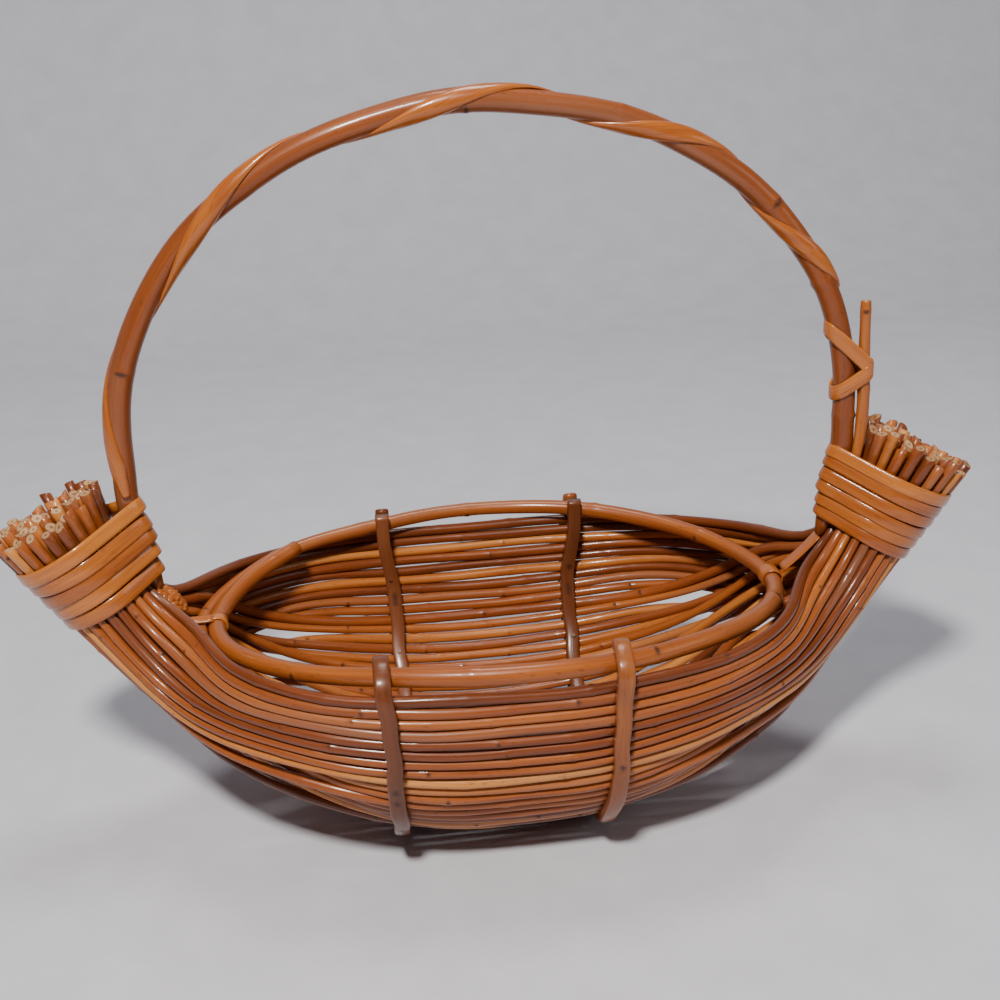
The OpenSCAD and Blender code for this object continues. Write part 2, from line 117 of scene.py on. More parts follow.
# -------------------------------------------------- rings of swept CAD nodes
def solids_of(node):
    """Each solid of a CAD node as distinct points with their neighbours."""
    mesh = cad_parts[node].data
    co = np.array([v.co[:] for v in mesh.vertices])
    points, same = np.unique(np.round(co, 6), axis=0, return_inverse=True)
    same = same.reshape(-1)
    near = [set() for _ in points]
    for edge in mesh.edges:
        a, b = same[edge.vertices[0]], same[edge.vertices[1]]
        if a != b:
            near[a].add(b)
            near[b].add(a)
    left = set(range(len(points)))
    solids = []
    while left:
        group = {min(left)}
        edge_of_group = set(group)
        while edge_of_group:
            edge_of_group = set().union(*(near[i] for i in edge_of_group)) - group
            group |= edge_of_group
        left -= group
        solids.append((sorted(group), points, near))
    return solids


def swept_paths(node, sides):
    """Path of each swept solid of a node, from its end with the lowest x."""
    paths = []
    for members, points, near in solids_of(node):
        far = members[0]
        for _ in range(2):
            seen, front = {far}, {far}
            while front:
                last = front
                front = set().union(*(near[i] for i in front)) - seen
                seen |= front
            far = min(last)
        ring = sorted(members, key=lambda i: np.linalg.norm(points[i] - points[far]))[:sides]
        seen = set(ring)
        rings = [ring]
        while len(ring) == sides:
            ring = sorted(set().union(*(near[i] for i in ring)) - seen)
            seen |= set(ring)
            rings.append(ring)
        rings = [r for r in rings if len(r) == sides]
        centres = [points[r].mean(axis=0) for r in rings]
        radii = [np.linalg.norm(points[r] - c, axis=1).max() for r, c in zip(rings, centres)]
        if centres[0][0] > centres[-1][0]:
            centres, radii = centres[::-1], radii[::-1]
        paths.append(Path(centres, radii))
    return paths


# ---------------------------------------------------------------- mesh pieces
class Piece:
    """Mesh under construction, with the grain's own coordinates at each point."""

    def __init__(self, name):
        self.name = name
        self.points, self.faces, self.mats = [], [], []
        self.grain, self.tone, self.knot = [], [], []

    def add(self, points, faces, grain, tone, knot=None, mats=None):
        start = len(self.points)
        self.points.extend(map(tuple, points))
        self.faces.extend(tuple(start + i for i in f) for f in faces)
        self.grain.extend(map(tuple, grain))
        self.tone.extend([tone] * len(points))
        self.knot.extend(knot if knot is not None else [0.0] * len(points))
        self.mats.extend(mats if mats is not None else [0] * len(faces))

    def build(self, materials, nodes):
        mesh = bpy.data.meshes.new(self.name)
        mesh.from_pydata(self.points, [], self.faces)
        for mat in materials:
            mesh.materials.append(mat)
        mesh.polygons.foreach_set("material_index", self.mats)
        mesh.polygons.foreach_set("use_smooth", [True] * len(self.faces))
        flat = np.array(self.grain, np.float32).ravel()
        mesh.attributes.new("grain", "FLOAT_VECTOR", "POINT").data.foreach_set("vector", flat)
        for key, values in (("tone", self.tone), ("knot", self.knot)):
            mesh.attributes.new(key, "FLOAT", "POINT").data.foreach_set(
                "value", np.array(values, np.float32)
            )
        mesh.validate()
        whole = bmesh.new()
        whole.from_mesh(mesh)
        bmesh.ops.recalc_face_normals(whole, faces=whole.faces)
        whole.to_mesh(mesh)
        whole.free()
        obj = bpy.data.objects.new(self.name, mesh)
        bpy.context.scene.collection.objects.link(obj)
        if nodes:
            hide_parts(*nodes)
        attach(obj, "root")
        return obj


def tube_faces(rings, sides):
    """Sides of a tube whose rings follow one another in its list of points."""
    return [(i * sides + j, i * sides + (j + 1) % sides,
             (i + 1) * sides + (j + 1) % sides, (i + 1) * sides + j)
            for i in range(rings - 1) for j in range(sides)]


def end_faces(rings, sides):
    first = tuple(range(sides - 1, -1, -1))
    last = tuple((rings - 1) * sides + j for j in range(sides))
    return [first, last]


def carried(centres, start):
    """Two axes across the line at each of its points, carried along untwisted."""
    n = len(centres)
    dirs = [unit(centres[min(i + 1, n - 1)] - centres[max(i - 1, 0)]) for i in range(n)]
    u = unit(start - dirs[0] * np.dot(start, dirs[0]))
    axes = []
    for d in dirs:
        u = unit(u - d * np.dot(u, d))
        axes.append((d, u, np.cross(d, u)))
    return axes


def wobble(rng, reach, count):
    """Slow crookedness: a sum of waves of random lengths, as a function of t."""
    waves = [
        (rng.uniform(-1, 1) * reach, rng.uniform(60, 170) * MM, rng.uniform(0, ANY_ANGLE))
        for _ in range(count)
    ]
    return lambda t: sum(a * math.sin(TURN * t / w + p) for a, w, p in waves)


# distances from a rod's end: how far the bundle reaches, where the rod starts to
# fill out for the wall, and where the rods fan out widest
BUNDLE_REACH = 110 * MM
WALL_FROM, WALL_EASE = 40 * MM, 60 * MM
FAN_MIDDLE, FAN_SPREAD = 105 * MM, 32 * MM


def add_rod(piece, path, rng, thick=1.0, sides=ROD_SIDES, crooked=0.25, knots=(24, 62),
            slant=0.5, knot_size=1.0, step=6.0, end_swell=0.0, wall_swell=0.0):
    """Round rod along a path, with knots, slow bends and slanting cut ends."""
    finish = path.length
    side_bend, rise_bend = wobble(rng, crooked * MM, 3), wobble(rng, crooked * MM, 3)
    spots = []
    t = rng.uniform(5, knots[1]) * MM
    turn = rng.uniform(0, ANY_ANGLE)
    while t < finish - 4 * MM:
        turn += math.pi + rng.uniform(-0.9, 0.9)
        spots.append((t, turn, rng.uniform(0.55, 1.0) * knot_size))
        t += rng.uniform(*knots) * MM
    stops = set(np.linspace(0, finish, max(int(finish / (step * MM)), 4)))
    for spot in spots:
        stops |= {spot[0] + d * MM for d in (-3.4, -1.8, -0.9, 0, 0.9, 1.8, 3.4)}
    stops = sorted(s for s in stops if 0 <= s <= finish)
    stops = [s for i, s in enumerate(stops) if i == 0 or s - stops[i - 1] > 0.3 * MM]
    swell = wobble(rng, 0.035, 3)
    middle = path.at(np.array(stops))
    for i, t in enumerate(stops):
        fade = ease(min(t, finish - t) / (40 * MM))
        middle[i] += np.array([0, side_bend(t), rise_bend(t)]) * fade
    along_y = abs(path.direction(0)[1]) >= 0.8
    axes = carried(middle, np.array([0.0, 0.0, 1.0] if along_y else [0.0, 1.0, 0.0]))
    far = Vector((rng.uniform(-5, 5), rng.uniform(-5, 5), rng.uniform(-5, 5)))
    points, grain, knot = [], [], []
    slants = [(rng.uniform(-slant, slant), rng.uniform(0, ANY_ANGLE)) for _ in range(2)]
    for i, t in enumerate(stops):
        d, u, v = axes[i]
        base = float(path.radius(t)) * thick * (1 + swell(t))
        from_end = min(t, finish - t)
        base *= 1 + end_swell * max(0, 1 - from_end / BUNDLE_REACH) ** 2
        base *= 1 + wall_swell * ease((from_end - WALL_FROM) / WALL_EASE)
        base *= 1 + 0.6 * wall_swell * math.exp(-(((from_end - FAN_MIDDLE) / FAN_SPREAD) ** 2))
        for j in range(sides):
            a = TURN * j / sides
            bump = near = 0.0
            for st, sa, size in spots:
                if abs(st - t) < 8 * MM:
                    gap = (a - sa + math.pi) % TURN - math.pi
                    at_knot = math.exp(-(((st - t) / (1.3 * MM)) ** 2) - (gap / 0.6) ** 2)
                    ring = math.exp(-(((st - t) / (2.8 * MM)) ** 2))
                    bump += size * (0.3 * at_knot + 0.16 * ring) * MM
                    near = max(near, min(size, 1) * at_knot, 0.3 * ring)
            r = base + bump
            p = middle[i] + r * (math.cos(a) * u + math.sin(a) * v)
            for end, (lean, where) in ((0, slants[0]), (len(stops) - 1, slants[1])):
                if i == end:
                    p = p + d * r * lean * math.cos(a - where)
            points.append(p)
            grain.append((far.x + r * math.cos(a), far.y + r * math.sin(a), far.z + t))
            knot.append(near)
    n = len(stops)
    faces = tube_faces(n, sides)
    mats = [0] * len(faces)
    # a cut end: a small bevel, then the end grain round its pith
    for end, sign in ((0, -1), (n - 1, 1)):
        d = axes[end][0] * sign
        ring = np.array(points[end * sides : (end + 1) * sides])
        centre = ring.mean(axis=0)
        radius = np.linalg.norm(ring - centre, axis=1).mean()
        before = end * sides
        for share, push in ((0.9, 0.06), (0.55, 0.08), (0.2, 0.05)):
            here = len(points)
            for j in range(sides):
                rough = 1 + rng.uniform(-0.03, 0.03)
                points.append(centre + (ring[j] - centre) * share * rough + d * push * radius)
                g = share * radius * np.array([math.cos(TURN * j / sides), math.sin(TURN * j / sides)])
                grain.append((g[0], g[1], far.z))
                knot.append(share)
            for j in range(sides):
                k = (j + 1) % sides
                quad = (before + j, before + k, here + k, here + j)
                faces.append(quad if sign > 0 else quad[::-1])
                mats.append(0 if share == 0.9 else 1)
            before = here
        points.append(centre)
        grain.append((0, 0, far.z))
        knot.append(0.0)
        for j in range(sides):
            tri = (before + j, before + (j + 1) % sides, len(points) - 1)
            faces.append(tri if sign > 0 else tri[::-1])
            mats.append(1)
    piece.add(points, faces, grain, rng.random(), knot, mats)


CANE_FORM = [(-0.5, 0.0), (-0.5, 0.4), (-0.46, 0.74), (-0.36, 0.92), (-0.15, 0.99), (0.0, 1.0),
             (0.15, 0.99), (0.36, 0.92), (0.46, 0.74), (0.5, 0.4), (0.5, 0.0), (0.0, 0.05)]


def add_cane(piece, rng, centres, outs, wides, width, thick, closed=False):
    """Flat cane: inner middle line, outward and widthwise directions, width, thickness."""
    n, m = len(centres), len(CANE_FORM)
    far = [rng.uniform(-5, 5) for _ in range(3)]
    points, grain, run = [], [], 0.0
    for i in range(n):
        if i:
            run += np.linalg.norm(centres[i] - centres[i - 1])
        for a, b in CANE_FORM:
            points.append(centres[i] + wides[i] * a * width + outs[i] * b * thick)
            grain.append((far[0] + a * width, far[1] + b * thick, far[2] + run))
    faces = []
    for i in range(n if closed else n - 1):
        for j in range(m):
            a, b = i * m + j, i * m + (j + 1) % m
            c, d = (a + m) % (n * m), (b + m) % (n * m)
            faces.append((a, b, d, c))
    if not closed:
        faces += end_faces(n, m)
    piece.add(points, faces, grain, rng.random())


# ------------------------------------------------------------------ materials
def shader(name, coat, coat_rough, spec=0.5):
    mat = bpy.data.materials.new(name)
    mat.use_nodes = True
    tree = mat.node_tree
    tree.nodes.clear()
    out = tree.nodes.new("ShaderNodeOutputMaterial")
    bsdf = tree.nodes.new("ShaderNodeBsdfPrincipled")
    bsdf.inputs["Coat Weight"].default_value = coat
    bsdf.inputs["Coat Roughness"].default_value = coat_rough
    bsdf.inputs["Specular IOR Level"].default_value = spec
    tree.links.new(bsdf.outputs[0], out.inputs[0])
    return mat, tree, bsdf


def attribute(tree, name, output):
    node = tree.nodes.new("ShaderNodeAttribute")
    node.attribute_name = name
    return node.outputs[output]


def noise(tree, vector, scale, detail=4.0, rough=0.6, distortion=0.0):
    """Noise on a vector stretched by a scale for each axis."""
    mapping = tree.nodes.new("ShaderNodeMapping")
    mapping.inputs["Scale"].default_value = scale
    tex = tree.nodes.new("ShaderNodeTexNoise")
    tex.inputs["Scale"].default_value = 1.0
    tex.inputs["Detail"].default_value = detail
    tex.inputs["Roughness"].default_value = rough
    tex.inputs["Distortion"].default_value = distortion
    tree.links.new(vector, mapping.inputs["Vector"])
    tree.links.new(mapping.outputs[0], tex.inputs["Vector"])
    return tex.outputs["Fac"]


def maths(tree, kind, a, b=None, c=None, clamp=False):
    node = tree.nodes.new("ShaderNodeMath")
    node.operation = kind
    node.use_clamp = clamp
    for socket, value in zip(node.inputs, (a, b, c)):
        if value is None:
            continue
        if isinstance(value, (int, float)):
            socket.default_value = value
        else:
            tree.links.new(value, socket)
    return node.outputs[0]


def ramp(tree, fac, stops):
    node = tree.nodes.new("ShaderNodeValToRGB")
    band = node.color_ramp
    while len(band.elements) < len(stops):
        band.elements.new(0.5)
    for element, (place, colour) in zip(band.elements, stops):
        element.position = place
        element.color = (*colour, 1)
    tree.links.new(fac, node.inputs[0])
    return node.outputs[0]


def mix(tree, fac, a, b, kind="MIX"):
    node = tree.nodes.new("ShaderNodeMix")
    node.data_type = "RGBA"
    node.blend_type = kind
    for socket, value in ((node.inputs[0], fac), (node.inputs[6], a), (node.inputs[7], b)):
        if isinstance(value, (int, float)):
            socket.default_value = value
        elif isinstance(value, tuple):
            socket.default_value = (*value, 1)
        else:
            tree.links.new(value, socket)
    return node.outputs[2]


def bumped(tree, bsdf, height, strength, distance):
    node = tree.nodes.new("ShaderNodeBump")
    node.inputs["Strength"].default_value = strength
    node.inputs["Distance"].default_value = distance
    tree.links.new(height, node.inputs["Height"])
    tree.links.new(node.outputs[0], bsdf.inputs["Normal"])


def willow(name, colours, gloss, streak_share=0.34):
    """Varnished bark-stripped willow: grain streaks, blotches, specks and knots."""
    mat, tree, bsdf = shader(name, 0.36, gloss, 0.25)
    grain = attribute(tree, "grain", "Vector")
    tone = attribute(tree, "tone", "Fac")
    knot = attribute(tree, "knot", "Fac")
    streak = noise(tree, grain, (1500, 1500, 26), 5, 0.62)
    blotch = noise(tree, grain, (220, 220, 16), 3, 0.55)
    fine = noise(tree, grain, (4200, 4200, 130), 3, 0.6)
    level = maths(tree, "MULTIPLY_ADD", streak, streak_share, maths(tree, "MULTIPLY", tone, 0.78))
    level = maths(tree, "MULTIPLY_ADD", blotch, 0.62, level)
    level = maths(tree, "SUBTRACT", level, 0.38, clamp=True)
    base = ramp(tree, level, colours)
    specks = ramp(tree, noise(tree, grain, (900, 900, 300), 2, 0.5),
                  [(0.0, (0.35, 0.35, 0.35)), (0.3, (0.62, 0.62, 0.62)), (0.37, (1, 1, 1))])
    base = mix(tree, 0.75, base, specks, "MULTIPLY")
    faded = noise(tree, grain, (60, 60, 5), 2, 0.5)
    faded = maths(tree, "MULTIPLY_ADD", faded, 4.5, -2.45, clamp=True)
    base = mix(tree, maths(tree, "MULTIPLY", faded, 0.5), base, (0.26, 0.125, 0.075), "MIX")
    base = mix(tree, maths(tree, "MULTIPLY", fine, 0.25), base, (0.25, 0.085, 0.022), "MIX")
    ragged = maths(tree, "MULTIPLY_ADD", fine, 0.5, maths(tree, "SUBTRACT", knot, 0.25))
    scar = ramp(tree, ragged, [(0.0, (0, 0, 0)), (0.3, (0.0, 0.0, 0.0)), (0.7, (0.85, 0.85, 0.85)),
                               (1.0, (1, 1, 1))])
    base = mix(tree, scar, base, (0.045, 0.014, 0.006))
    tree.links.new(base, bsdf.inputs["Base Color"])
    rough = maths(tree, "MULTIPLY_ADD", streak, 0.3, 0.2)
    rough = maths(tree, "MULTIPLY_ADD", scar, 0.3, rough, clamp=True)
    tree.links.new(rough, bsdf.inputs["Roughness"])
    height = maths(tree, "MULTIPLY_ADD", fine, 0.35, streak)
    bumped(tree, bsdf, height, 0.4, 0.25 * MM)
    return mat


def end_grain():
    """Cut face of a rod: dark pith, pale wood, saw marks and a dirty edge."""
    mat, tree, bsdf = shader("willow_end_grain", 0.0, 0.5, 0.3)
    grain = attribute(tree, "grain", "Vector")
    across = attribute(tree, "knot", "Fac")
    tone = attribute(tree, "tone", "Fac")
    rays = noise(tree, grain, (2600, 2600, 40), 4, 0.7, 0.6)
    wood = ramp(tree, maths(tree, "MULTIPLY_ADD", rays, 0.7, maths(tree, "MULTIPLY", tone, 0.4)),
                [(0.1, (0.16, 0.075, 0.03)), (0.5, (0.40, 0.21, 0.09)), (0.85, (0.60, 0.38, 0.20))])
    pith = ramp(tree, across, [(0.0, (0.3, 0.3, 0.3)), (0.22, (0.5, 0.5, 0.5)), (0.34, (1, 1, 1)),
                               (0.72, (1, 1, 1)), (0.95, (0.5, 0.5, 0.5))])
    tree.links.new(mix(tree, 1.0, wood, pith, "MULTIPLY"), bsdf.inputs["Base Color"])
    tree.links.new(maths(tree, "MULTIPLY_ADD", rays, 0.25, 0.6), bsdf.inputs["Roughness"])
    bumped(tree, bsdf, rays, 0.6, 0.4 * MM)
    return mat


def cane_skin(name, colours):
    """Glossy outer skin of flat cane: long fibres and dark flecks."""
    mat, tree, bsdf = shader(name, 0.5, 0.09, 0.35)
    grain = attribute(tree, "grain", "Vector")
    tone = attribute(tree, "tone", "Fac")
    fibre = noise(tree, grain, (2300, 500, 22), 5, 0.6)
    patch = noise(tree, grain, (260, 200, 34), 3, 0.55)
    level = maths(tree, "MULTIPLY_ADD", fibre, 0.42, maths(tree, "MULTIPLY", tone, 0.3))
    level = maths(tree, "MULTIPLY_ADD", patch, 0.5, level)
    level = maths(tree, "SUBTRACT", level, 0.14, clamp=True)
    base = ramp(tree, level, colours)
    flecks = ramp(tree, noise(tree, grain, (700, 700, 160), 3, 0.6),
                  [(0.0, (0.3, 0.3, 0.3)), (0.31, (0.6, 0.6, 0.6)), (0.4, (1, 1, 1))])
    base = mix(tree, 0.6, base, flecks, "MULTIPLY")
    tree.links.new(base, bsdf.inputs["Base Color"])
    tree.links.new(maths(tree, "MULTIPLY_ADD", fibre, 0.3, 0.14), bsdf.inputs["Roughness"])
    bumped(tree, bsdf, fibre, 0.3, 0.2 * MM)
    return mat


def old_steel():
    """Small dark nail heads with a touch of rust."""
    mat, tree, bsdf = shader("dark_brads", 0.2, 0.3)
    coords = tree.nodes.new("ShaderNodeTexCoord").outputs["Object"]
    rust = noise(tree, coords, (2200, 2200, 2200), 4, 0.6)
    tree.links.new(ramp(tree, rust, [(0.3, (0.03, 0.025, 0.022)), (0.7, (0.13, 0.06, 0.03))]),
                   bsdf.inputs["Base Color"])
    tree.links.new(maths(tree, "MULTIPLY_ADD", rust, 0.4, 0.25), bsdf.inputs["Roughness"])
    bsdf.inputs["Metallic"].default_value = 0.8
    bumped(tree, bsdf, rust, 0.4, 0.1 * MM)
    return mat


# ramps from the darkest to the palest shade, as (place, colour)
ROD_COLOURS = [
    (0.0, (0.0658, 0.0118, 0.00304)), (0.22, (0.146, 0.0286, 0.00608)),
    (0.42, (0.254, 0.0571, 0.00988)), (0.62, (0.376, 0.101, 0.0167)),
    (0.8, (0.517, 0.172, 0.0319)), (1.0, (0.658, 0.286, 0.076)),
]
POLE_COLOURS = [
    (0.0, (0.0665, 0.0118, 0.0028)), (0.3, (0.147, 0.0294, 0.0056)),
    (0.6, (0.247, 0.0571, 0.0091)), (0.85, (0.361, 0.0966, 0.0154)),
    (1.0, (0.494, 0.168, 0.0315)),
]
RIB_COLOURS = [
    (0.0, (0.065, 0.0147, 0.0051)), (0.35, (0.14, 0.035, 0.00935)),
    (0.7, (0.235, 0.0644, 0.0153)), (1.0, (0.42, 0.147, 0.034)),
]
CANE_COLOURS = [
    (0.0, (0.155, 0.0318, 0.00532)), (0.3, (0.281, 0.0671, 0.00912)),
    (0.55, (0.417, 0.119, 0.016)), (0.8, (0.563, 0.198, 0.0319)),
    (1.0, (0.718, 0.318, 0.076)),
]
rod_mat = willow("varnished_willow_rods", ROD_COLOURS, 0.13)
pole_mat = willow("varnished_willow_poles", POLE_COLOURS, 0.13, 0.4)
rib_mat = willow("varnished_split_willow", RIB_COLOURS, 0.18, 0.4)
end_mat = end_grain()
cane_mat = cane_skin("glossy_flat_cane", CANE_COLOURS)
brad_mat = old_steel()


# ------------------------------------------------------------------ long rods
CAD_SIDES = {"rod": 7, "hoop": 8, "pole": 10, "side": 8}
rods = []  # one path for each rod, from the front rim round the base to the back rim


def long_rods():
    """One piece for each CAD node of long rods, in order round the wall."""
    for node in FRONT_RODS + BASE_RODS + BACK_RODS:
        paths = sorted(swept_paths(node, CAD_SIDES["rod"]),
                       key=lambda p: math.atan2(p.at(p.length / 2)[1], 0.1 - p.at(p.length / 2)[2]))
        piece = Piece(node + "_willow")
        for path in paths:
            rng = random.Random(701 + len(rods))
            rods.append(path)
            add_rod(piece, path, rng, thick=rng.uniform(0.93, 1.07), crooked=0.3, slant=0.8,
                    end_swell=0.34, wall_swell=0.15)
        piece.build([rod_mat, end_mat], [node])


long_rods()
hoop = swept_paths("rim_hoop", CAD_SIDES["hoop"])[0]
pole = swept_paths("handle_pole", CAD_SIDES["pole"])[0]
side_rod = swept_paths("handle_side_rod", CAD_SIDES["side"])[0]


def thick_rods():
    """The hoop, the handle's pole and the short side rod."""
    for name, node, path, seed, spread, size, crook in (
        ("rim_hoop_rod", "rim_hoop", hoop, 11, (34, 85), 1.5, 0.25),
        ("handle_pole_rod", "handle_pole", pole, 12, (40, 100), 1.8, 0.5),
        ("handle_side_rod_willow", "handle_side_rod", side_rod, 13, (20, 40), 1.2, 0.1),
    ):
        piece = Piece(name)
        add_rod(piece, path, random.Random(seed), sides=20, crooked=crook, knots=spread,
                knot_size=size, step=5.0)
        piece.build([pole_mat, end_mat], [node])


thick_rods()


# ----------------------------------------------------------------------- ribs
def rib_lines(node):
    """Each rod's centre where the rib crosses it, and the rib's x at both rims."""
    co = np.array([v.co[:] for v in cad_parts[node].data.vertices])
    low, high = co.min(axis=0), co.max(axis=0)

    def middle_x(near):
        return float(near[:, 0].min() + near[:, 0].max()) / 2

    rims = []
    for sign in (-1, 1):
        end = co[co[:, 1] * sign > 0.5 * min(-low[1], high[1])]
        rims.append(middle_x(end[end[:, 2] > end[:, 2].max() - 4 * MM]))
    centres = []
    for r in rods:
        x = (low[0] + high[0]) / 2
        for _ in range(2):
            p = r.at(r.where_x(x))
            x = middle_x(co[np.linalg.norm(co[:, 1:] - p[1:], axis=1).argsort()[:14]])
        centres.append(r.at(r.where_x(x)))
    return np.array(centres), rims[0], rims[1]


RIB_WIDE, RIB_THICK = 6.8 * MM, 5.0 * MM
OUTER_PLAY, INNER_PLAY, HOOP_PLAY = 0.2 * MM, 0.9 * MM, 0.15 * MM
FLOOR_GAP = 0.05 * MM  # the outer ribs' undersides stand this far off the floor
# round the hoop an outer rib starts to move away at this angle, over this many degrees
LEAVE_FROM, LEAVE_OVER, LEAVE_REACH = 138, 62, 5.3 * MM

RIB_FORM = [(-0.5, -0.46), (0.5, -0.46), (0.5, 0.2), (0.48, 0.35), (0.42, 0.43), (0.3, 0.47),
            (0.0, 0.5), (-0.3, 0.47), (-0.42, 0.43), (-0.48, 0.35), (-0.5, 0.2)]


def add_rib(piece, rng, line, outs, width, thick):
    """Split rod, flat inside and flattened outside: its outer side looks along outs."""
    n, m = len(line), len(RIB_FORM)
    far = [rng.uniform(-5, 5) for _ in range(3)]
    spots = [rng.uniform(0.1, 0.9) * n for _ in range(5)]
    points, grain, knot, run = [], [], [], 0.0
    bend = wobble(rng, 0.3 * MM, 3)
    for i in range(n):
        d = unit(line[min(i + 1, n - 1)] - line[max(i - 1, 0)])
        out = unit(outs[i] - d * np.dot(outs[i], d))
        wide = np.cross(d, out)
        run += np.linalg.norm(line[i] - line[i - 1]) if i else 0
        swell = 1 + 0.04 * math.sin(run * 90)
        for a, b in RIB_FORM:
            points.append(line[i] + wide * (a * width * swell + bend(run)) + out * b * thick)
            grain.append((far[0] + a * width, far[1] + b * thick, far[2] + run))
            near = max(math.exp(-((i - s) / 1.1) ** 2) for s in spots) if b > 0.3 else 0
            knot.append(near * 0.9 * (1 - abs(a) * 2))
    faces = tube_faces(n, m) + end_faces(n, m)
    piece.add(points, faces, grain, rng.random(), knot)


def smooth_line(points, spacing):
    path = Path(points, [0] * len(points))
    count = max(int(path.length / spacing), 8)
    return [path.at(t) for t in np.linspace(0, path.length, count)]


def even_steps(line, outs, count):
    """Evenly spaced points along a smooth line, with the outward direction at each."""
    path = Path(line, [0] * len(line))
    pts, dirs = [], []
    for i in range(count + 1):
        t = path.length * i / count
        share = float(np.interp(t, path.t, np.arange(len(line))))
        k = min(int(share), len(line) - 2)
        pts.append(path.at(t))
        dirs.append(unit(outs[k] * (1 - share + k) + outs[k + 1] * (share - k)))
    return pts, dirs


def hoop_near(x, back):
    """Centre and radius of the hoop where it crosses x, at the front or the back."""
    ts = np.linspace(0, hoop.length, 1500)
    at = hoop.at(ts)
    ok = (at[:, 1] > 0) if back else (at[:, 1] < 0)
    miss = np.abs(at[:, 0] - x) + np.where(ok, 0, 1)
    i = int(miss.argmin())
    return at[i], float(hoop.radius(ts[i]))


def wall_normals(centres):
    """Directions into the basket at each rod's centre."""
    normals = []
    n = len(centres)
    for i in range(n):
        along = centres[min(i + 1, n - 1)] - centres[max(i - 1, 0)]
        normals.append(unit(np.cross(np.array([1.0, 0, 0]), along)))
    normals = np.array(normals)
    middle = np.array([0.0, 0.0, centres[:, 2].max()])
    if np.dot(normals[n // 2], middle - centres[n // 2]) < 0:
        normals = -normals
    return normals


def outer_rib(node, seed):
    """Rib over the front rim, down outside the rods, under them and up the back."""
    centres, front_x, back_x = rib_lines(node)
    inward = wall_normals(centres)
    reach = max(r.radii.max() for r in rods) + OUTER_PLAY + RIB_THICK / 2
    line = [centres[i] - inward[i] * reach for i in range(1, len(rods) - 1, 2)]
    outs = [-inward[i] for i in range(1, len(rods) - 1, 2)]
    front, front_r = hoop_near(front_x, False)
    back, back_r = hoop_near(back_x, True)

    def over(centre, radius, side, angle):
        away = radius + RIB_THICK / 2 + HOOP_PLAY
        away += LEAVE_REACH * max(0, angle - LEAVE_FROM) / LEAVE_OVER
        a = math.radians(angle)
        out = np.array([0, -side * math.cos(a), math.sin(a)])
        return centre + out * away, out

    head = [over(front, front_r, -1, a) for a in range(48, 190, 14)]
    tail = [over(back, back_r, 1, a) for a in range(186, 126, -12)]
    line = [h[0] for h in head] + line + [t[0] for t in tail]
    outs = [h[1] for h in head] + outs + [t[1] for t in tail]
    pts, dirs = even_steps(line, outs, 150)
    for i, (p, out) in enumerate(zip(pts, dirs)):
        low = p[2] + out[2] * RIB_THICK / 2
        if low < FLOOR_GAP:
            pts[i] = p + np.array([0, 0, FLOOR_GAP - low])
    piece = Piece(node + "_split_willow")
    add_rib(piece, random.Random(seed), pts, dirs, RIB_WIDE, RIB_THICK)
    piece.build([rib_mat, end_mat], [node])


def inner_rib(node, seed):
    """Rib inside the rods, up to the back of the hoop's inner side."""
    centres, _, back_x = rib_lines(node)
    inward = wall_normals(centres)
    reach = max(r.radii.max() for r in rods) + INNER_PLAY + RIB_THICK / 2
    places = range(3, len(rods) - 5, 2)
    line = [centres[i] + inward[i] * reach for i in places]
    outs = [inward[i] for i in places]
    back, back_r = hoop_near(back_x, True)
    for z in (-7, 0, 7):
        line.append(np.array([back_x, back[1] - back_r - RIB_THICK / 2 - 0.4 * MM,
                              back[2] + z * MM]))
        outs.append(np.array([0.0, -1.0, 0.0]))
    pts, dirs = even_steps(line, outs, 130)
    piece = Piece(node + "_split_willow")
    add_rib(piece, random.Random(seed), pts, dirs, RIB_WIDE, RIB_THICK)
    piece.build([rib_mat, end_mat], [node])


outer_rib("outer_rib_left", 31)
outer_rib("outer_rib_right", 32)
inner_rib("inner_rib_left", 33)
inner_rib("inner_rib_right", 34)
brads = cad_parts["rib_brads"]
brads.data.materials.clear()
brads.data.materials.append(brad_mat)


